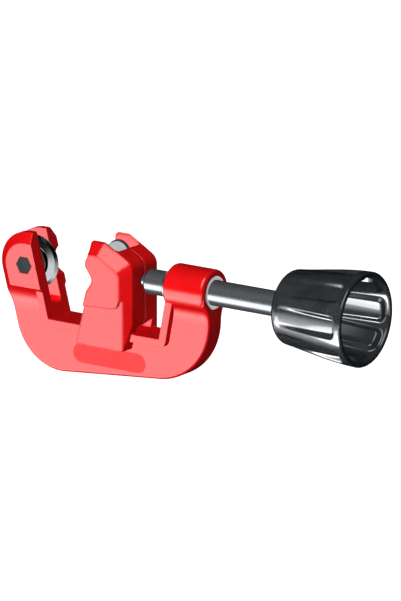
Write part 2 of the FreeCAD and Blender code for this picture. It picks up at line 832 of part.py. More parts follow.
def flute_cutter(angle):
    """One outer flute: a wedge that deepens towards the open end and stops squarely."""
    depth_start = knob_radius(flute_start) + flute_run_out
    depth_end = knob_radius(flute_end) - flute_depth
    low = Vector(flute_start, 0, depth_start)
    high = Vector(flute_end, 0, depth_end)
    wire = Part.makePolygon(
        [low, high, Vector(flute_end, 0, far), Vector(flute_start, 0, far), low]
    )
    wedge = Part.Face(wire).extrude(Vector(0, flute_width, 0))
    wedge.translate(Vector(0, -flute_width / 2, 0))
    wedge.rotate(Vector(0, 0, 0), Vector(1, 0, 0), angle)
    return wedge


def inner_pad(angle):
    """One pad inside the hollow, backing a flute."""
    inner = knob_radius(flute_end) - flute_depth - knob_wall
    half = flute_width / 2
    pad_end_x = flute_end + knob_wall
    pad = box(knob_floor - 1, pad_end_x, -half, half, inner, knob_large_diameter / 2)
    upright = [edge for edge in pad.Edges if edge.BoundBox.ZLength > 1]
    corner_edges = [edge for edge in upright if abs(edge.BoundBox.XMin - pad_end_x) < 1e-3]
    pad = pad.makeFillet(pad_corner_radius, corner_edges)
    pad.rotate(Vector(0, 0, 0), Vector(1, 0, 0), angle)
    return pad


def make_knob_shell():
    """Hollow moulded knob with outer flutes and matching inner pads."""
    roundings = (knob_shoulder_radius, *knob_swell_radii, knob_lip_radius)
    outline = [(x, radius, rounding) for (x, radius), rounding in zip(knob_stations(), roundings)]
    body = turned_x([(knob_start, 0, 0)] + outline + [(knob_end, 0, 0)])
    hollow_mouth = knob_radius(knob_end) - knob_wall
    hollow_floor = knob_radius(knob_floor) - knob_wall
    hollow = [
        (knob_floor, 0, 0),
        (knob_floor, hollow_floor, hollow_corner_radius),
        (knob_end + 1, hollow_mouth, 0),
        (knob_end + 1, 0, 0),
    ]
    pads = []
    for step in range(flute_count):
        angle = 360.0 * step / flute_count
        body = body.cut(flute_cutter(angle))
        pads.append(inner_pad(angle))
    hollow_shape = turned_x(hollow)
    for pad in pads:
        hollow_shape = hollow_shape.cut(pad)
    body = body.cut(hollow_shape)
    body = body.cut(rod_x(insert_diameter / 2, drive_start, knob_floor))
    return body.cut(rod_x(spindle_diameter / 2, knob_start, drive_start)).removeSplitter()


def make_knob_insert():
    """Metal insert moulded into the knob, with the hexagon socket for the spindle."""
    insert = rod_x(insert_diameter / 2, drive_start, drive_end)
    return insert.cut(hexagon_x(drive_flats, drive_start, drive_end))


def make_knob_screw():
    """Socket-headed screw that holds the knob on the spindle."""
    head_at = drive_end + knob_washer_thickness
    screw = rod_x(knob_screw_diameter / 2, head_at - knob_screw_length, head_at)
    head = rod_x(knob_screw_head_diameter / 2, head_at, head_at + knob_screw_head_height)
    flats, depth = knob_screw_socket
    head_end = head_at + knob_screw_head_height
    return screw.fuse(head).cut(hexagon_x(flats, head_end - depth, head_end)).removeSplitter()


def make_knob_washer():
    """Washer under the knob screw."""
    washer = rod_x(knob_washer_diameter / 2, drive_end, drive_end + knob_washer_thickness)
    return washer.cut(rod_x(knob_screw_diameter / 2, drive_end, drive_end + knob_washer_thickness))


parts["knob_shell"] = make_knob_shell()
parts["knob_insert"] = make_knob_insert()
parts["knob_screw"] = make_knob_screw()
parts["knob_washer"] = make_knob_washer()


# ---------------------------------------------------------------- export
os.makedirs("parts", exist_ok=True)
for name, shape in parts.items():
    bad = [solid for solid in shape.Solids if not solid.isValid() or solid.Volume <= 0]
    print(name, len(shape.Solids), round(shape.Volume, 1), "BAD" if bad else "")
    shape.exportStep(os.path.join("parts", name + ".step"))
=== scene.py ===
import json
import logging
import math
from dataclasses import dataclass, field
from enum import Enum
from typing import Any, Mapping, Sequence

import bpy
import numpy as np
from mathutils import Matrix, Vector

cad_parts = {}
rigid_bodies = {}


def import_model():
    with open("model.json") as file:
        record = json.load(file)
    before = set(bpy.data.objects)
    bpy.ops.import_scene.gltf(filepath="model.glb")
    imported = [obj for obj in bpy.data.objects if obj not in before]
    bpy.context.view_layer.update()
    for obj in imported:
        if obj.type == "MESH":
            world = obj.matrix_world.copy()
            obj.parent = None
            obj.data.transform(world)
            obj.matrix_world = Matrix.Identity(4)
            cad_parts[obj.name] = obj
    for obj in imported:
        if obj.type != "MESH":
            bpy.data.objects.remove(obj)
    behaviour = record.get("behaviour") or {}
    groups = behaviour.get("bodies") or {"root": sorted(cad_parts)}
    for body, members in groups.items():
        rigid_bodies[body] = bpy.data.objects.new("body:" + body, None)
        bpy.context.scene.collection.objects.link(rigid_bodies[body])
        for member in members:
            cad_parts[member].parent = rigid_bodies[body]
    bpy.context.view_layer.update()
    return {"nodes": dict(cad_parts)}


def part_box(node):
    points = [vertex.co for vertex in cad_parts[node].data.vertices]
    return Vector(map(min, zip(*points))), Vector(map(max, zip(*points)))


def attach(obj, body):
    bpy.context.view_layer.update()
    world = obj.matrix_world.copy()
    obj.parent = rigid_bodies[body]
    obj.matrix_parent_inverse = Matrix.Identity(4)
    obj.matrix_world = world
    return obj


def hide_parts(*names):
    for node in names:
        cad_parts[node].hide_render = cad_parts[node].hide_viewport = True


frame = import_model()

# A screw-feed pipe cutter. Sizes in this file are millimetres in the CAD frame: +X along the
# spindle towards the knob, +Y along the wheel axle, +Z out of the open side of the frame.

log = logging.getLogger("pipe_cutter")
MM = 0.001
Colour = tuple[float, float, float]
Place = tuple[float, float, float]
# near-black colour that paints shade onto the cutting wheel's hub
PAINTED_HUB_SHADE: Colour = (0.012, 0.013, 0.014)
ZINC: Colour = (0.62, 0.62, 0.60)
HARD_STEEL: Colour = (0.75, 0.76, 0.78)
GROUND_STEEL: Colour = (0.93, 0.94, 0.95)
SPINDLE_LINE: Place = (0.0, 0.0, 0.0)


class Axis(Enum):
    """The two directions that turned pieces lie along."""

    SPINDLE = "x"
    AXLE = "y"


class Grain(Enum):
    """How a steel surface was cut, which sets the direction of its fine lines."""

    TURNED = "rings round the piece's own axis"
    FACED = "rings on the flat faces, round the piece's own axis"
    DRAWN = "long streaks along the bar"


# ---------------------------------------------------------------------------- shader building
class Signal:
    """A shader socket that takes part in plain arithmetic."""

    def __init__(self, graph: "Graph", socket: bpy.types.NodeSocket) -> None:
        """Keeps the socket and the graph that new Math nodes go into."""
        self.graph = graph
        self.socket = socket

    def _with(self, operation: str, first: Any, second: Any) -> "Signal":
        """Adds one Math node.

        Args:
            operation: the Math node's operation.
            first: its first value, a Signal or a number.
            second: its second value, a Signal or a number.

        Returns:
            The node's result.
        """
        made = self.graph.node("Math", {"operation": operation}, {0: first, 1: second})
        return Signal(self.graph, made.outputs[0])

    def __add__(self, other: Any) -> "Signal":
        """self + other."""
        return self._with("ADD", self, other)

    def __radd__(self, other: Any) -> "Signal":
        """other + self."""
        return self._with("ADD", other, self)

    def __rsub__(self, other: Any) -> "Signal":
        """other - self."""
        return self._with("SUBTRACT", other, self)

    def __mul__(self, other: Any) -> "Signal":
        """self * other."""
        return self._with("MULTIPLY", self, other)

    def above(self, low: float, high: float) -> "Signal":
        """A smooth step from 0 at low to 1 at high."""
        made = self.graph.node(
            "MapRange",
            {"interpolation_type": "SMOOTHSTEP", "clamp": True},
            {"Value": self, "From Min": low, "From Max": high},
        )
        return Signal(self.graph, made.outputs[0])


class Graph:
    """The nodes of one material or of the world, built by one method."""

    def __init__(self, tree: bpy.types.NodeTree) -> None:
        """Empties the tree and keeps it."""
        tree.nodes.clear()
        self.tree = tree

    def node(
        self,
        kind: str,
        settings: Mapping[str, Any] | None = None,
        sockets: Mapping[Any, Any] | None = None,
    ) -> bpy.types.Node:
        """Adds one node.

        Args:
            kind: the node's type without its ShaderNode prefix.
            settings: the node's own attributes, which are set first.
            sockets: input name or number to a Signal that drives it or a value that it holds.

        Returns:
            The new node.
        """
        made = self.tree.nodes.new("ShaderNode" + kind)
        for name, value in (settings or {}).items():
            setattr(made, name, value)
        for name, value in (sockets or {}).items():
            socket = made.inputs[name]
            if isinstance(value, Signal):
                self.tree.links.new(value.socket, socket)
            else:
                socket.default_value = value
        return made

    def out(self, made: bpy.types.Node, name: Any = 0) -> Signal:
        """One output of a node as a Signal."""
        return Signal(self, made.outputs[name])

    def position(self) -> Signal:
        """The point being shaded, in metres in the CAD frame."""
        return self.out(self.node("TexCoord"), "Object")

    def vector(self, operation: str, *values: Any) -> Signal:
        """Vector Math on up to three vectors; a length or a dot product comes back as a number."""
        made = self.node("VectorMath", {"operation": operation}, dict(enumerate(values)))
        number = operation in ("LENGTH", "DOT_PRODUCT")
        return self.out(made, "Value" if number else "Vector")

    def parts(self, vector: Signal) -> tuple[Signal, Signal, Signal]:
        """The X, Y and Z of a vector."""
        made = self.node("SeparateXYZ", None, {0: vector})
        return self.out(made, 0), self.out(made, 1), self.out(made, 2)

    def join(self, x: Any, y: Any, z: Any) -> Signal:
        """A vector from its X, Y and Z."""
        return self.out(self.node("CombineXYZ", None, {0: x, 1: y, 2: z}))

    def noise(self, where: Signal, scale: float, detail: float = 2.0) -> Signal:
        """Noise between 0 and 1 at a vector, with scale features in each unit."""
        made = self.node("TexNoise", None, {"Vector": where, "Scale": scale, "Detail": detail})
        return self.out(made, 0)

    def blend(self, factor: Any, first: Any, second: Any) -> Signal:
        """A colour between first, at factor 0, and second, at factor 1."""
        settings = {"data_type": "RGBA", "blend_type": "MIX", "clamp_factor": True}
        sockets = {0: factor, 6: self.colour(first), 7: self.colour(second)}
        return self.out(self.node("Mix", settings, sockets), 2)

    def colour(self, value: Any) -> Any:
        """A Signal as it is, or three numbers with full alpha added."""
        return value if isinstance(value, Signal) else (*value, 1.0)

    def soft_edges(self, radius: float) -> Signal:
        """The surface normal with edges rounded over radius, in millimetres."""
        made = self.node("Bevel", {"samples": 6}, {"Radius": radius * MM})
        return self.out(made)

    def bump(self, height: Signal, depth: float, normal: Signal | None = None) -> Signal:
        """A normal bent by a height between 0 and 1 that stands depth millimetres tall."""
        sockets = {"Height": height, "Distance": depth * MM, "Strength": 1.0}
        if normal is not None:
            sockets["Normal"] = normal
        return self.out(self.node("Bump", None, sockets))

    def finish(self, sockets: Mapping[str, Any]) -> None:
        """Ends the tree in a Principled shader with these sockets."""
        shader = self.node("BsdfPrincipled", None, sockets)
        self.node("OutputMaterial", None, {"Surface": self.out(shader)})


def new_material(name: str) -> tuple[bpy.types.Material, Graph]:
    """Makes an empty node material.

    Args:
        name: the material's name.

    Returns:
        The material and the graph of its tree.
    """
    material = bpy.data.materials.new(name)
    material.use_nodes = True
    return material, Graph(material.node_tree)


# ---------------------------------------------------------------------------- finishes
@dataclass(frozen=True)
class Enamel:
    """Glossy red enamel over a die-cast surface, with slight orange peel and a lighter red along
    rounded edges.
    """

    name: str
    colour: Colour = (0.80, 0.004, 0.006)
    deep: Colour = (0.72, 0.003, 0.0045)
    edge: Colour = (0.92, 0.02, 0.025)
    roughness: float = 0.24
    gloss: float = 1.0
    varnish: float = 0.9
    edge_radius: float = 0.6
    edge_lightening: float = 0.35
    peel_size: float = 0.9
    peel_depth: float = 0.006
    pore_size: float = 0.22
    patch_size: float = 18.0
    varnish_roughness: float = 0.12

    def build(self) -> bpy.types.Material:
        """Colour drifts by a few percent in soft patches and turns a lighter red along rounded edges.

        Returns:
            The material.
        """
        material, graph = new_material(self.name)
        where = graph.position()
        patches = graph.noise(where, 1 / (self.patch_size * MM), 3.0)
        peel = graph.noise(where, 1 / (self.peel_size * MM), 2.0)
        pores = graph.noise(where, 1 / (self.pore_size * MM), 1.0)
        rounded = graph.soft_edges(self.edge_radius)
        flat = graph.out(graph.node("NewGeometry"), "Normal")
        # lighter red along rounded edges, wherever the rounded normal leaves the flat one
        lighter_near_rounded_edge = (1.0 - graph.vector("DOT_PRODUCT", rounded, flat)).above(0.02, 0.25)
        body = graph.blend(patches.above(0.35, 0.7), self.deep, self.colour)
        coat = graph.blend(lighter_near_rounded_edge * self.edge_lightening, body, self.edge)
        height = peel * 0.8 + pores * 0.2
        graph.finish({
            "Base Color": coat,
            "Roughness": self.roughness - 0.04 + pores * 0.08,
            "Normal": graph.bump(height, self.peel_depth, rounded),
            "Specular IOR Level": self.gloss,
            "Coat Weight": self.varnish,
            "Coat Roughness": self.varnish_roughness,
        })
        return material


@dataclass(frozen=True)
class Inlay:
    """Smooth printed film let into the casting, blank, with a satin varnish."""

    name: str
    colour: Colour = (0.90, 0.006, 0.009)
    roughness: float = 0.38
    gloss: float = 0.95
    stipple_size: float = 0.16
    stipple_depth: float = 0.002
    patch_size: float = 9.0

    def build(self) -> bpy.types.Material:
        """A very fine stipple under an even varnish.

        Returns:
            The material.
        """
        material, graph = new_material(self.name)
        where = graph.position()
        stipple = graph.noise(where, 1 / (self.stipple_size * MM), 1.0)
        tone = graph.noise(where, 1 / (self.patch_size * MM), 2.0)
        darker = tuple(0.9 * part for part in self.colour)
        graph.finish({
            "Base Color": graph.blend(tone.above(0.3, 0.7), darker, self.colour),
            "Roughness": self.roughness + stipple * 0.06,
            "Normal": graph.bump(stipple, self.stipple_depth),
            "Specular IOR Level": self.gloss,
        })
        return material


@dataclass(frozen=True)
class Steel:
    """Machined steel with fine tool lines about an axis through a given point.

    Within painted_shade_radius of the axis the colour turns near-black, painted shade for a dark hub.
    """

    name: str
    colour: Colour
    grain: Grain
    axis: Axis
    centre: Place
    roughness: float = 0.2
    line_pitch: float = 0.12
    line_depth: float = 0.0015
    edge_radius: float = 0.2
    stain: float = 0.15
    painted_shade_radius: float = 0.0
    metallic: float = 1.0
    stretch: float = 0.03
    blotch_size: float = 4.0
    line_tint: float = 0.25

    def build(self) -> bpy.types.Material:
        """Tool lines are noise stretched along the cut, as the grain says.

        With a the distance along the axis and r the distance from it, turned lines are noise of
        (a, slow angle), faced lines noise of (r, slow angle), and drawn streaks noise of
        (slow a, angle round the bar).

        Returns:
            The material.
        """
        material, graph = new_material(self.name)
        middle = tuple(part * MM for part in self.centre)
        offset = graph.vector("SUBTRACT", graph.position(), middle)
        x, y, z = graph.parts(offset)
        along, across = (x, y) if self.axis is Axis.SPINDLE else (y, x)
        radius = graph.vector("LENGTH", graph.join(across, z, 0.0))
        fine = 1 / (self.line_pitch * MM)
        slow = fine * self.stretch
        stretched = {
            Grain.TURNED: lambda: graph.join(along * fine, across * slow, z * slow),
            Grain.FACED: lambda: graph.join(radius * fine, across * slow, z * slow),
            Grain.DRAWN: lambda: graph.join(along * slow, across * fine, z * fine),
        }[self.grain]()
        lines = graph.noise(stretched, 1.0, 2.0)
        blotch = graph.noise(offset, 1 / (self.blotch_size * MM), 3.0)
        worn = tuple(part * (1 - self.stain) for part in self.colour)
        tone = graph.blend(blotch.above(0.3, 0.75), worn, self.colour)
        # painted shade: near the axis the colour turns near-black
        if self.painted_shade_radius:
            edge = self.painted_shade_radius * MM
            tone = graph.blend(radius.above(edge, edge + 0.2 * MM), PAINTED_HUB_SHADE, tone)
        graph.finish({
            "Base Color": graph.blend(lines * self.line_tint, tone, worn),
            "Metallic": self.metallic,
            "Roughness": self.roughness * 0.8 + lines * (self.roughness * 0.4),
            "Normal": graph.bump(lines, self.line_depth, graph.soft_edges(self.edge_radius)),
        })
        return material


@dataclass(frozen=True)
class MouldedPlastic:
    """Glossy black moulded plastic with a faint flow pattern and fine scuffs."""

    name: str
    colour: Colour = (0.020, 0.023, 0.026)
    roughness: float = 0.14
    gloss: float = 0.8
    coat: float = 1.0
    coat_roughness: float = 0.08
    coat_ior: float = 1.5
    flow_size: float = 7.0
    skin_size: float = 0.35
    skin_depth: float = 0.0012
    scuff_scale: tuple[float, float, float] = (60.0, 900.0, 900.0)

    def build(self) -> bpy.types.Material:
        """Scuffs are thin noise lines that only change the gloss.

        Returns:
            The material.
        """
        material, graph = new_material(self.name)
        where = graph.position()
        flow = graph.noise(where, 1 / (self.flow_size * MM), 3.0)
        skin = graph.noise(where, 1 / (self.skin_size * MM), 1.0)
        long_way = graph.vector("MULTIPLY", where, self.scuff_scale)
        scuffs = graph.noise(long_way, 1.0, 4.0).above(0.62, 0.72)
        lighter = tuple(1.35 * part for part in self.colour)
        graph.finish({
            "Base Color": graph.blend(flow.above(0.35, 0.65), self.colour, lighter),
            "Roughness": self.roughness + skin * 0.03 + scuffs * 0.07,
            "Normal": graph.bump(skin, self.skin_depth),
            "Specular IOR Level": self.gloss,
            "Coat Weight": self.coat,
            "Coat Roughness": self.coat_roughness,
            "Coat IOR": self.coat_ior,
        })
        return material


# ---------------------------------------------------------------------------- surfaces
def unit(rows: np.ndarray) -> np.ndarray:
    """Rows scaled to length 1.

    Args:
        rows: vectors along the last axis.

    Returns:
        The same vectors at length 1.
    """
    length = np.linalg.norm(rows, axis=-1, keepdims=True)
    return rows / np.maximum(length, 1e-12)


def rounded_section(corners: Sequence[tuple[float, float, float]], steps: int = 7) -> np.ndarray:
    """A closed outline with each corner turned into a tangent arc.

    For unit vectors back and ahead along a corner's two sides, with half their angle h, the arc's
    centre is radius / sin(h) along their bisector, and both tangent points are radius / tan(h)
    from the corner. The arc turns evenly from one tangent point to the other.

    Args:
        corners: (u, v, radius) of each corner, in order.
        steps: points on each arc.

    Returns:
        Points as rows of (u, v).
    """
    table = np.array(corners, float)
    points = table[:, :2]
    radius = table[:, 2:]
    back = unit(np.roll(points, 1, axis=0) - points)
    ahead = unit(np.roll(points, -1, axis=0) - points)
    cosine = np.clip((back * ahead).sum(axis=1, keepdims=True), -1, 1)
    half = np.arccos(cosine) / 2
    centre = points + unit(back + ahead) * radius / np.sin(half)
    start = points + back * radius / np.tan(half) - centre
    end = points + ahead * radius / np.tan(half) - centre
    turn = math.pi - 2 * half
    share = np.linspace(0, 1, steps)
    from_start = (np.sin((1 - share) * turn) / np.sin(turn))[..., None]
    from_end = (np.sin(share * turn) / np.sin(turn))[..., None]
    arcs = centre[:, None] + from_start * start[:, None] + from_end * end[:, None]
    return arcs.reshape(-1, 2)


def turned(
    section: np.ndarray, axis: Axis, centre: Sequence[float], segments: int = 128
) -> np.ndarray:
    """A grid of points from a section turned about an axis.

    A point a along the axis and r from it, at angle t, lies at (a, r cos t, r sin t) for an axis
    along X and at (r sin t, a, r cos t) for an axis along Y, plus the centre.

    Args:
        section: rows of (a, r), closed.
        axis: the direction of the axis.
        centre: a point on the axis.
        segments: steps round the axis.

    Returns:
        Points as an array of (sections, segments, 3).
    """
    angle = np.linspace(0, 2 * math.pi, segments, endpoint=False)
    along = np.repeat(section[:, :1], segments, axis=1)
    first = section[:, 1:] * np.cos(angle)
    second = section[:, 1:] * np.sin(angle)
    order = (along, first, second) if axis is Axis.SPINDLE else (second, along, first)
    return np.stack(order, axis=-1) + np.array(centre, float)


def closed_grid_faces(rows: int, columns: int) -> np.ndarray:
    """Quads that join a grid of points to itself in both directions.

    Args:
        rows: points along the first parameter.
        columns: points along the second parameter.

    Returns:
        Four point numbers for each face.
    """
    number = np.arange(rows * columns).reshape(rows, columns)
    below = np.roll(number, -1, axis=0)
    quads = (number, np.roll(number, -1, axis=1), np.roll(below, -1, axis=1), below)
    return np.stack(quads, axis=-1).reshape(-1, 4)


def facing_out(points: np.ndarray, faces: np.ndarray) -> np.ndarray:
    """Faces turned so that the closed surface holds a positive volume.

    The volume is the sum over faces of a . (b x c) + a . (c x d), divided by 6.

    Args:
        points: rows of (x, y, z).
        faces: rows of four point numbers.

    Returns:
        The faces, reversed if they pointed inwards.
    """
    a, b, c, d = (points[faces[:, side]] for side in range(4))
    volume = (a * np.cross(b, c) + a * np.cross(c, d)).sum()
    return faces if volume > 0 else faces[:, ::-1]


def make_piece(
    name: str, points: np.ndarray, faces: np.ndarray, sharp_angle: float = 40.0
) -> bpy.types.Object:
    """A mesh object at the origin from points in millimetres.

    Args:
        name: the piece's name.
        points: rows of (x, y, z).
        faces: rows of four point numbers.
        sharp_angle: edges that turn by more than this many degrees stay crisp.

    Returns:
        The new object.
    """
    faces = facing_out(points, faces)
    mesh = bpy.data.meshes.new(name)
    mesh.from_pydata((points * MM).tolist(), [], faces.tolist())
    mesh.polygons.foreach_set("use_smooth", np.ones(len(faces), bool))
    mesh.set_sharp_from_angle(angle=math.radians(sharp_angle))
    mesh.update()
    piece = bpy.data.objects.new(name, mesh)
    bpy.context.scene.collection.objects.link(piece)
    return piece


@dataclass(frozen=True)
class Lathe:
    """One turned piece: a closed section with its corners, spun about an axis."""

    name: str
    corners: tuple[tuple[float, float, float], ...]
    axis: Axis
    centre: Place
    segments: int = 128
    guard: float = 0.04

    def build(self) -> bpy.types.Object:
        """Turns the section, with a narrow band beside each arc so that flats shade flat.

        Returns:
            The piece.
        """
        section = with_guard_points(rounded_section(self.corners), self.guard)
        grid = turned(section, self.axis, self.centre, self.segments)
        faces = closed_grid_faces(len(section), self.segments)
        return make_piece(self.name, grid.reshape(-1, 3), faces)


def with_guard_points(section: np.ndarray, distance: float) -> np.ndarray:
    """Adds a point just inside each end of every long run of a closed section.

    Args:
        section: rows of (u, v).
        distance: how far the new points lie from the run's ends.

    Returns:
        The section with its guard points.
    """
    ahead = np.roll(section, -1, axis=0) - section
    length = np.linalg.norm(ahead, axis=1, keepdims=True)
    step = unit(ahead) * np.minimum(distance, length / 3)
    spread = np.stack([section, section + step, section + ahead - step], axis=1)
    keep = np.stack([np.ones(len(section), bool)] + [length[:, 0] > 3 * distance] * 2, axis=1)
    return spread[keep]


def node_box(node: str) -> tuple[np.ndarray, np.ndarray]:
    """Lowest and highest corner of a CAD node, in millimetres.

    Args:
        node: the node's name.

    Returns:
        The two corners.
    """
    low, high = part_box(node)
    return np.array(low) / MM, np.array(high) / MM


def node_centre(node: str) -> Place:
    """Middle of a CAD node's box, in millimetres."""
    low, high = node_box(node)
    return tuple(float(part) for part in (low + high) / 2)


def dress(node: str, material: bpy.types.Material) -> None:
    """Gives a CAD node its material.

    Args:
        node: the node's name.
        material: what it is made of.
    """
    slots = frame["nodes"][node].data.materials
    slots.clear()
    slots.append(material)
    log.info("dressed %s in %s", node, material.name)


def stand_in(
    piece: bpy.types.Object, node: str, body: str, material: bpy.types.Material
) -> None:
    """Puts a finished piece in the place of a CAD node.

    Args:
        piece: the new piece.
        node: the CAD node that it replaces.
        body: the body that it rides on.
        material: what it is made of.
    """
    piece.data.materials.append(material)
    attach(piece, body)
    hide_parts(node)
    log.info("made %s with %d faces", piece.name, len(piece.data.polygons))


# ---------------------------------------------------------------------------- sub-assemblies
@dataclass
class FrameCasting:
    """The C-shaped casting with its label, axle and bush."""

    enamel: Enamel = field(default_factory=lambda: Enamel("red_enamel"))
    inlay: Inlay = field(default_factory=lambda: Inlay("label_film"))
    bolt_black: Colour = (0.056, 0.065, 0.069)
    washer_black: Colour = (0.06, 0.062, 0.065)
    bush_steel: Colour = (0.86, 0.87, 0.88)
    bush_bore: float = 5.35
    bush_edge: float = 0.8

    def build(self) -> None:
        """Dresses the casting and its fasteners and makes the bush."""
        dress("frame_casting", self.enamel.build())
        dress("front_label", self.inlay.build())
        axle = node_centre("axle_bolt")
        head = Steel(
            "blackened_bolt", self.bolt_black, Grain.DRAWN, Axis.AXLE, axle, roughness=0.42, stain=0.3
        )
        dress("axle_bolt", head.build())
        nut = Steel("zinc_nut", ZINC, Grain.FACED, Axis.AXLE, axle, roughness=0.3)
        dress("axle_nut", nut.build())
        race = Steel("ground_sleeve", HARD_STEEL, Grain.TURNED, Axis.AXLE, axle, roughness=0.16)
        dress("wheel_sleeve", race.build())
        washer = Steel(
            "pressed_washer", self.washer_black, Grain.FACED, Axis.AXLE, axle, roughness=0.24
        )
        dress("wheel_thrust_washers", washer.build())
        self.make_bush()

    def make_bush(self) -> None:
        """The bush is a ring with rounded mouths."""
        low, high = node_box("spindle_bush")
        outer = float(high[1])
        edge = self.bush_edge
        corners = (
            (float(low[0]), self.bush_bore, edge),
            (float(high[0]), self.bush_bore, edge),
            (float(high[0]), outer, edge),
            (float(low[0]), outer, edge),
        )
        bush = Lathe("bright_bush", corners, Axis.SPINDLE, SPINDLE_LINE).build()
        finish = Steel(
            "polished_bush",
            self.bush_steel,
            Grain.TURNED,
            Axis.SPINDLE,
            SPINDLE_LINE,
            roughness=0.3,
        )
        stand_in(bush, "spindle_bush", "frame", finish.build())


@dataclass
class CuttingWheel:
    """The cutting wheel: thick hub, flat flanks and a ground double bevel."""

    bore: float = 4.66
    hub_radius: float = 6.7
    disc_radius: float = 9.8
    disc_half: float = 1.3
    flank_taper: float = 0.55
    edge_half: float = 0.05
    hub_rounding: float = 0.15
    steel: Colour = (0.32, 0.325, 0.33)

    def build(self) -> None:
        """Turns the wheel and dresses its needles."""
        low, high = node_box("cutter_wheel")
        rim = float(high[0])
        hub = float(high[1])
        half_section = (
            (hub, self.bore, 0.25),
            (hub, self.hub_radius, 0.35),
            (self.disc_half, self.hub_radius, 0.3),
            (self.disc_half - self.flank_taper, self.disc_radius, 0.12),
            (self.edge_half, rim, 0.03),
        )
        other_half = tuple((-along, radius, r) for along, radius, r in half_section[::-1])
        axle = node_centre("cutter_wheel")
        wheel = Lathe("ground_cutting_wheel", half_section + other_half, Axis.AXLE, axle, 192)
        finish = Steel(
            "lapped_wheel",
            self.steel,
            Grain.FACED,
            Axis.AXLE,
            axle,
            roughness=0.14,
            line_pitch=0.09,
            line_depth=0.001,
            # painted shade: the hub is coloured near-black
            painted_shade_radius=self.hub_radius - self.hub_rounding,
        )
        stand_in(wheel.build(), "cutter_wheel", "cutter_wheel", finish.build())
        needle = Steel("needle_steel", self.steel, Grain.DRAWN, Axis.AXLE, axle, roughness=0.12)
        dress("wheel_needles", needle.build())


@dataclass
class Carriage:
    """The two carriage halves with their screws, rollers and thrust disc."""

    enamel: Enamel = field(
        default_factory=lambda: Enamel("carriage_enamel", edge_radius=1.8, edge_lightening=0.1)
    )
    roller_edge: float = 0.45
    roller_bore: float = 3.1
    bore_edge: float = 0.2
    pin_grey: Colour = (0.3, 0.31, 0.33)
    washer_black: Colour = (0.05, 0.055, 0.062)

    def build(self) -> None:
        """Dresses the halves and makes both roller sets."""
        red = self.enamel.build()
        dress("carriage_rear_half", red)
        dress("carriage_front_half", red)
        centre = node_centre("carriage_screws")
        zinc = Steel("zinc_screws", ZINC, Grain.FACED, Axis.AXLE, centre, roughness=0.3)
        dress("carriage_screws", zinc.build())
        disc = node_centre("thrust_disc")
        ground = Steel(
            "thrust_steel", GROUND_STEEL, Grain.FACED, Axis.SPINDLE, disc, roughness=0.18
        )
        dress("thrust_disc", ground.build())
        for side in ("upper", "lower"):
            self.make_roller(side)

    def make_roller(self, side: str) -> None:
        """One roller with its pin, needles and two side washers.

        Args:
            side: upper or lower.
        """
        node = side + "_roller"
        centre = node_centre(node)
        low, high = node_box(node)
        half = float(high[1])
        radius = float(high[0] - low[0]) / 2
        corners = (
            (-half, self.roller_bore, self.bore_edge),
            (half, self.roller_bore, self.bore_edge),
            (half, radius, self.roller_edge),
            (-half, radius, self.roller_edge),
        )
        middle = (centre[0], 0.0, centre[2])
        roller = Lathe(side + "_ground_roller", corners, Axis.AXLE, middle).build()
        finishes = {
            "": ("_roller_steel", GROUND_STEEL, Grain.TURNED, 0.3),
            "_pin": ("_pin_steel", self.pin_grey, Grain.TURNED, 0.3),
            "_needles": ("_needle_steel", GROUND_STEEL, Grain.DRAWN, 0.15),
            "_washers": ("_washer_black", self.washer_black, Grain.FACED, 0.3),
        }
        for ending, (name, colour, grain, roughness) in finishes.items():
            steel = Steel(side + name, colour, grain, Axis.AXLE, middle, roughness).build()
            if ending:
                dress(node + ending, steel)
            else:
                stand_in(roller, node, node, steel)


@dataclass
class Spindle:
    """The drawn spindle with its clip."""

    steel: Colour = (0.31, 0.33, 0.355)
    clip_black: Colour = (0.05, 0.055, 0.06)

    def build(self) -> None:
        """Dresses the spindle and its clip."""
        bar = Steel(
            "drawn_spindle",
            self.steel,
            Grain.DRAWN,
            Axis.SPINDLE,
            SPINDLE_LINE,
            roughness=0.24,
            line_pitch=0.8,
            line_depth=0.0,
            edge_radius=0.0,
            stain=0.05,
            metallic=0.82,
        )
        dress("spindle", bar.build())
        clip = Steel(
            "blackened_clip", self.clip_black, Grain.FACED, Axis.SPINDLE, SPINDLE_LINE, roughness=0.35
        )
        dress("spindle_clip", clip.build())


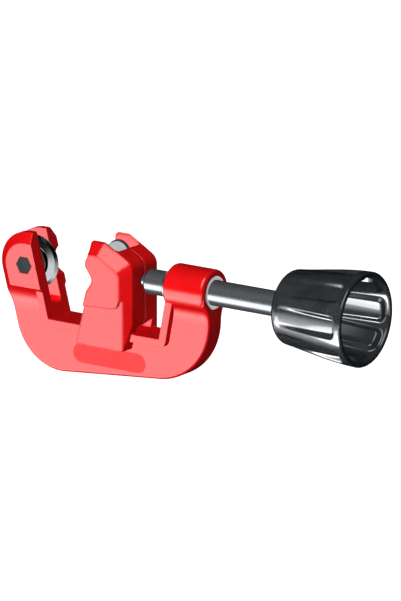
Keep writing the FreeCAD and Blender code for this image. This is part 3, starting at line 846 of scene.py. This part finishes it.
@dataclass
class Knob:
    """The hollow moulded knob: a swelling shell with outer flutes and inner pads."""

    plastic: MouldedPlastic = field(default_factory=lambda: MouldedPlastic("black_moulding"))
    small_radius: float = 15.3
    shoulder: float = 2.6
    swell: float = 0.9
    wall: float = 2.2
    rim_rounding: float = 1.0
    spindle_hole: float = 5.4
    insert_radius: float = 8.05
    insert_depth: float = 9.6
    face_thickness: float = 3.0
    flutes: int = 8
    flute_first: float = 5.0
    flute_last: float = 32.3
    flute_half: float = 3.2
    flute_wall: float = 1.9
    flute_depth: float = 2.3
    flute_start_share: float = 0.12
    flute_flatness: float = 0.25
    pad_rise: float = 2.0
    pad_start_share: float = 0.4
    pad_half: float = 3.7
    pad_wall: float = 2.2
    pad_below_floor: float = 5.0
    pad_past_flute: float = 1.2
    pad_ramp: float = 3.0
    columns: int = 320
    crisp_angle: float = 50.0

    def build(self) -> None:
        """Makes the shell and dresses what is inside it."""
        low, high = node_box("knob_shell")
        shell = self.make_shell(float(low[0]), float(high[0]), float(high[1]))
        stand_in(shell, "knob_shell", "spindle", self.plastic.build())
        metal = {"knob_insert": HARD_STEEL, "knob_screw": ZINC, "knob_washer": ZINC}
        for node, colour in metal.items():
            finish = Steel(
                node + "_steel", colour, Grain.FACED, Axis.SPINDLE, SPINDLE_LINE, roughness=0.28
            )
            dress(node, finish.build())

    def body_radius(self, along: np.ndarray, length: float, large: float) -> np.ndarray:
        """Outer radius without flutes.

        With s from 0 at the spindle end to 1 at the mouth, the radius is
        small + (large - small) * s * (1 + swell * s * (1 - s)), a taper that bulges past its middle.

        Args:
            along: distance from the spindle end.
            length: length of the knob.
            large: radius at the mouth.

        Returns:
            The radius at each distance.
        """
        share = np.clip(along / length, 0, 1)
        return self.small_radius + (large - self.small_radius) * share * (
            1 + self.swell * (1 - share) * share
        )

    def rounded_block(
        self,
        along: np.ndarray,
        sideways: np.ndarray,
        first: float,
        last: float,
        half: float,
        wall: float,
    ) -> np.ndarray:
        """1 inside a rounded rectangle and 0 past its sloping wall.

        The distance to the rectangle, sqrt(dx^2 + ds^2) outside it, falls smoothly to 0 over wall.

        Args:
            along: distance from the spindle end.
            sideways: distance round the knob from the block's middle.
            first: where the block starts.
            last: where it ends.
            half: half of its width.
            wall: width of its sloping wall.

        Returns:
            A share between 0 and 1 at each point.
        """
        inset = wall / 2
        past_x = np.maximum(np.maximum(first + inset - along, along - last + inset), 0)
        past_s = np.maximum(np.abs(sideways) - half + inset, 0)
        gap = np.clip((np.hypot(past_x, past_s) - inset) / wall, 0, 1)
        return 1 - gap * gap * (3 - 2 * gap)

    def make_shell(self, start: float, end: float, large: float) -> bpy.types.Object:
        """The shell as one closed surface of (place on the section, angle round the axis).

        A flute's floor lies its depth under the body, at (radius - depth) / cos(flatness * offset)
        for an angle offset from the flute's middle. The depth grows from a share of flute_depth at
        the flute's start to all of it at its end. A pad stands out of the inner wall in the same
        way behind each flute.

        Args:
            start: X of the spindle end.
            end: X of the mouth.
            large: outer radius at the mouth.

        Returns:
            The shell.
        """
        length = end - start
        floor = self.face_thickness + self.insert_depth
        outer = self.outer_run(length, large)
        inner = self.inner_run(length, large, floor)
        bore = self.bore_run()
        angle = np.linspace(0, 2 * math.pi, self.columns, endpoint=False)
        pitch = 2 * math.pi / self.flutes
        offset = (angle + pitch / 2) % pitch - pitch / 2

        along, radius = outer[:, :1], outer[:, 1:]
        sideways = radius * offset
        share = self.rounded_block(
            along, sideways, self.flute_first, self.flute_last, self.flute_half, self.flute_wall
        )
        fade = np.clip((along - self.flute_first) / (self.flute_last - self.flute_first), 0, 1)
        dip = self.flute_depth * (self.flute_start_share + (1 - self.flute_start_share) * fade)
        flute_floor = (radius - dip) / np.cos(offset * self.flute_flatness)
        outer_radius = radius - share * np.maximum(radius - flute_floor, 0)

        along_in, radius_in = inner[:, :1], inner[:, 1:]
        pad = self.rounded_block(
            along_in,
            radius_in * offset,
            floor - self.pad_below_floor,
            self.flute_last + self.pad_past_flute,
            self.pad_half,
            self.pad_wall,
        )
        ramp = np.clip((along_in - floor) / self.pad_ramp, 0, 1)
        growth = self.pad_start_share + (1 - self.pad_start_share) * along_in / length
        inner_radius = radius_in - pad * self.pad_rise * ramp * growth

        bore_radius = np.repeat(bore[:, 1:], self.columns, axis=1)
        grid_radius = np.concatenate([outer_radius, inner_radius, bore_radius])
        grid_along = np.concatenate([outer[:, 0], inner[:, 0], bore[:, 0]])
        points = np.stack(
            [
                np.repeat((start + grid_along)[:, None], self.columns, axis=1),
                grid_radius * np.sin(angle),
                grid_radius * np.cos(angle),
            ],
            axis=-1,
        )
        faces = closed_grid_faces(len(grid_along), self.columns)
        return make_piece("fluted_knob_shell", points.reshape(-1, 3), faces, self.crisp_angle)

    def outer_run(self, length: float, large: float) -> np.ndarray:
        """Outer half of the section, from the spindle hole over the shoulder to the mouth.

        Args:
            length: length of the knob.
            large: radius at the mouth.

        Returns:
            Rows of (along, radius).
        """
        face = np.linspace(self.spindle_hole, self.small_radius - self.shoulder, 8)
        front = np.stack([np.zeros(8), face], axis=1)
        turn = np.linspace(0, math.pi / 2, 12)[1:]
        round_off = self.shoulder * (1 - np.cos(turn))
        lift = self.shoulder * (1 - np.sin(turn))
        shoulder = np.stack([round_off, self.body_radius(round_off, length, large) - lift], axis=1)
        run = np.linspace(self.shoulder, length - self.rim_rounding, 92)[1:]
        barrel = np.stack([run, self.body_radius(run, length, large)], axis=1)
        turn = np.linspace(0, math.pi / 2, 9)[1:]
        mouth = self.body_radius(np.array([length]), length, large)
        back = self.rim_rounding * (1 - np.sin(turn))
        inset = self.rim_rounding * (1 - np.cos(turn))
        lip = np.stack([length - back, mouth - inset], axis=1)
        return np.concatenate([front, shoulder, barrel, lip])

    def inner_run(self, length: float, large: float, floor: float) -> np.ndarray:
        """Inner half of the section, from the mouth down the hollow to its floor.

        Args:
            length: length of the knob.
            large: radius at the mouth.
            floor: distance of the hollow's floor from the spindle end.

        Returns:
            Rows of (along, radius).
        """
        turn = np.linspace(0, math.pi / 2, 9)
        back = self.rim_rounding * (1 - np.cos(turn))
        flare = self.rim_rounding * (1 - np.sin(turn))
        lip = np.stack([length - back, large - self.wall + flare], axis=1)
        run = np.linspace(length - self.rim_rounding, floor + self.shoulder, 74)[1:]
        walls = np.stack([run, self.body_radius(run, length, large) - self.wall], axis=1)
        turn = np.linspace(0, math.pi / 2, 10)[1:]
        deep = self.body_radius(np.array([floor + self.shoulder]), length, large) - self.wall
        rise = self.shoulder * (1 - np.sin(turn))
        inset = self.shoulder * (1 - np.cos(turn))
        bottom = np.stack([floor + rise, deep - inset], axis=1)
        inward = np.linspace(float(deep[0]) - self.shoulder, self.insert_radius, 6)[1:]
        flat = np.stack([np.full(5, floor), inward], axis=1)
        return np.concatenate([lip, walls, bottom, flat])

    def bore_run(self) -> np.ndarray:
        """The pocket for the insert and the hole for the spindle, as rows of (along, radius)."""
        return np.array([
            (self.face_thickness, self.insert_radius),
            (self.face_thickness, self.spindle_hole),
        ])


# ---------------------------------------------------------------------------- studio
@dataclass(frozen=True)
class Lamp:
    """An even lamp far away that casts no shadow.

    strength is what a white surface that faces the lamp sends back, width is how wide the lamp
    looks from the tool, in degrees, and only names the pieces that it shines on, if not all.
    """

    name: str
    towards: tuple[float, float, float]
    strength: float
    width: float = 20.0
    only: tuple[str, ...] = ()

    def build(self) -> None:
        """Places the lamp and links it to its pieces."""
        data = bpy.data.lights.new(self.name, "SUN")
        data.energy = self.strength * math.pi
        data.angle = math.radians(self.width)
        data.use_shadow = False
        lamp = bpy.data.objects.new(self.name, data)
        way = Vector(self.towards).normalized()
        lamp.matrix_world = way.to_track_quat("Z", "Y").to_matrix().to_4x4()
        bpy.context.scene.collection.objects.link(lamp)
        if self.only:
            receivers = bpy.data.collections.new(self.name + "_pieces")
            for piece in self.only:
                receivers.objects.link(bpy.data.objects[piece])
            lamp.light_linking.receiver_collection = receivers


@dataclass
class Studio:
    """Floor, lights, surroundings and camera."""

    turn: float = 35.0
    tilt: float = 15.0
    distance: float = 2500.0
    lens: float = 538.65
    sensor: float = 36.0
    clip_end: float = 20.0
    aim_right: float = 68.21
    aim_down: float = 16.58
    floor_size: float = 6000.0
    floor_light: float = 0.62
    room_glow: float = 0.004
    soft_light: float = 0.20
    room_lamps: tuple[Lamp, ...] = (
        Lamp("key", (0.0, -0.95, 0.42), 0.95),
        Lamp("top", (0.3, 0.0, 1.0), 0.22),
        Lamp("fill", (0.0, -0.8, -0.6), 0.5),
    )
    piece_lamps: tuple[Lamp, ...] = (
        Lamp(
            "lamp_for_bright_bush",
            (0.35, 0.85, 0.35),
            0.55,
            160.0,
            ("bright_bush", "upper_ground_roller", "lower_ground_roller"),
        ),
        Lamp("lamp_for_fluted_knob_shell", (-0.55, -0.56, -0.62), 0.36, 22.0, ("fluted_knob_shell",)),
        Lamp("lamp_for_knob_inside", (-0.46, -0.75, -0.47), 0.25, 24.0, ("fluted_knob_shell",)),
        Lamp("lamp_for_spindle", (-0.55, -0.66, -0.51), 0.2, 40.0, ("spindle",)),
    )

    def axes(self) -> tuple[Vector, Vector, Vector]:
        """Right, up and forward of the camera, as unit vectors."""
        turn, tilt = math.radians(self.turn), math.radians(self.tilt)
        right = Vector((math.cos(turn), math.sin(turn), 0))
        forward = Vector((
            -math.sin(turn) * math.cos(tilt),
            math.cos(turn) * math.cos(tilt),
            -math.sin(tilt),
        ))
        return right, right.cross(forward), forward

    def make_camera(self) -> None:
        """A long lens from the knob side, a little above, aimed at the middle of the tool."""
        right, up, forward = self.axes()
        target = right * self.aim_right - up * self.aim_down
        data = bpy.data.cameras.new("view")
        data.lens = self.lens
        data.sensor_width = self.sensor
        data.sensor_fit = "HORIZONTAL"
        data.clip_end = self.clip_end
        camera = bpy.data.objects.new("view", data)
        facing = Matrix((right, up, -forward)).transposed().to_4x4()
        camera.matrix_world = Matrix.Translation((target - forward * self.distance) * MM) @ facing
        bpy.context.scene.collection.objects.link(camera)
        bpy.context.scene.camera = camera

    def make_floor(self) -> None:
        """A pale sheet just under the tool."""
        level = float(min(node_box(node)[0][2] for node in frame["nodes"])) * MM
        half = self.floor_size / 2 * MM
        ring = ((-half, -half), (half, -half), (half, half), (-half, half))
        corners = [(x, y, level) for x, y in ring]
        mesh = bpy.data.meshes.new("floor")
        mesh.from_pydata(corners, [], [(0, 1, 2, 3)])
        floor = bpy.data.objects.new("floor", mesh)
        bpy.context.scene.collection.objects.link(floor)
        material, graph = new_material("pale_floor")
        speckle = graph.noise(graph.position(), 40.0, 2.0)
        graph.finish({
            "Base Color": graph.blend(speckle, (0.90, 0.90, 0.90), (0.93, 0.93, 0.93)),
            "Roughness": 0.9,
            "Specular IOR Level": 0.0,
            "Emission Color": (1.0, 1.0, 1.0, 1.0),
            "Emission Strength": self.floor_light,
        })
        mesh.materials.append(material)
        floor.visible_glossy = False
        floor.visible_diffuse = False
        floor.visible_shadow = False

    def make_surroundings(self) -> None:
        """White to the camera, and a dark room with three lit shapes to glossy surfaces.

        Each lit shape is a product of smooth steps of a ray's direction (x, y, z). A low band lies
        ahead of the label side and is a little brighter at its foot, a panel hangs high above
        that side, and a narrow strip stands to the right of it, where y + 0.6 x lies between
        -0.69 and -0.21. Soft light is the same from everywhere.
        """
        world = bpy.data.worlds.new("studio")
        bpy.context.scene.world = world
        world.use_nodes = True
        graph = Graph(world.node_tree)
        x, y, z = graph.parts(graph.out(graph.node("TexCoord"), "Generated"))
        front = (y * -1.0).above(0.0, 0.5) * (1.0 - x.above(0.0, 0.45))
        band = front * z.above(-0.82, -0.62) * (1.0 - z.above(-0.28, -0.02))
        upper = (y * -1.0).above(0.15, 0.35) * x.above(-0.45, -0.15) * (1.0 - x.above(0.35, 0.55))
        panel = upper * z.above(0.45, 0.65)
        across = y + x * 0.6
        strip = across.above(-0.69, -0.59) * (1.0 - across.above(-0.29, -0.21))
        strip = strip * (1.0 - z.above(-0.15, 0.0)) * x.above(0.3, 0.4)
        below = 1.0 - z.above(-0.75, -0.35)
        glow = self.room_glow + band * (2.6 + below * 0.4) + panel * 2.8 + strip * 2.5
        seen = graph.node("LightPath")
        to_camera = graph.out(seen, "Is Camera Ray")
        in_gloss = graph.out(seen, "Is Glossy Ray")
        in_soft_light = (1.0 - to_camera) * (1.0 - in_gloss)
        strength = to_camera + in_gloss * glow + in_soft_light * self.soft_light
        shader = graph.node("Background", None, {"Strength": strength})
        graph.node("OutputWorld", None, {"Surface": graph.out(shader)})
        world.cycles.sampling_method = "NONE"

    def build(self) -> None:
        """Sets the camera, then the floor, the lights and the surroundings."""
        self.make_camera()
        bpy.context.scene.view_settings.view_transform = "Standard"
        self.make_floor()
        for lamp in self.room_lamps:
            lamp.build()
        self.make_surroundings()

    def light_pieces(self) -> None:
        """Clears the pieces out of each other's reflections, then adds the lamps for single pieces.

        What is there so far, the room's lamps too, shows in no reflection, so gloss mirrors the
        surroundings and the lamps added here.
        """
        for item in bpy.context.scene.objects:
            item.visible_glossy = False
        for lamp in self.piece_lamps:
            lamp.build()


def main() -> None:
    """Builds the studio and every sub-assembly in order, then lights the finished pieces."""
    logging.basicConfig(level=logging.INFO, format="%(name)s: %(message)s")
    studio = Studio()
    for assembly in (studio, FrameCasting(), CuttingWheel(), Carriage(), Spindle(), Knob()):
        log.info("building %s", type(assembly).__name__)
        assembly.build()
    studio.light_pieces()


if __name__ == "__main__":
    main()
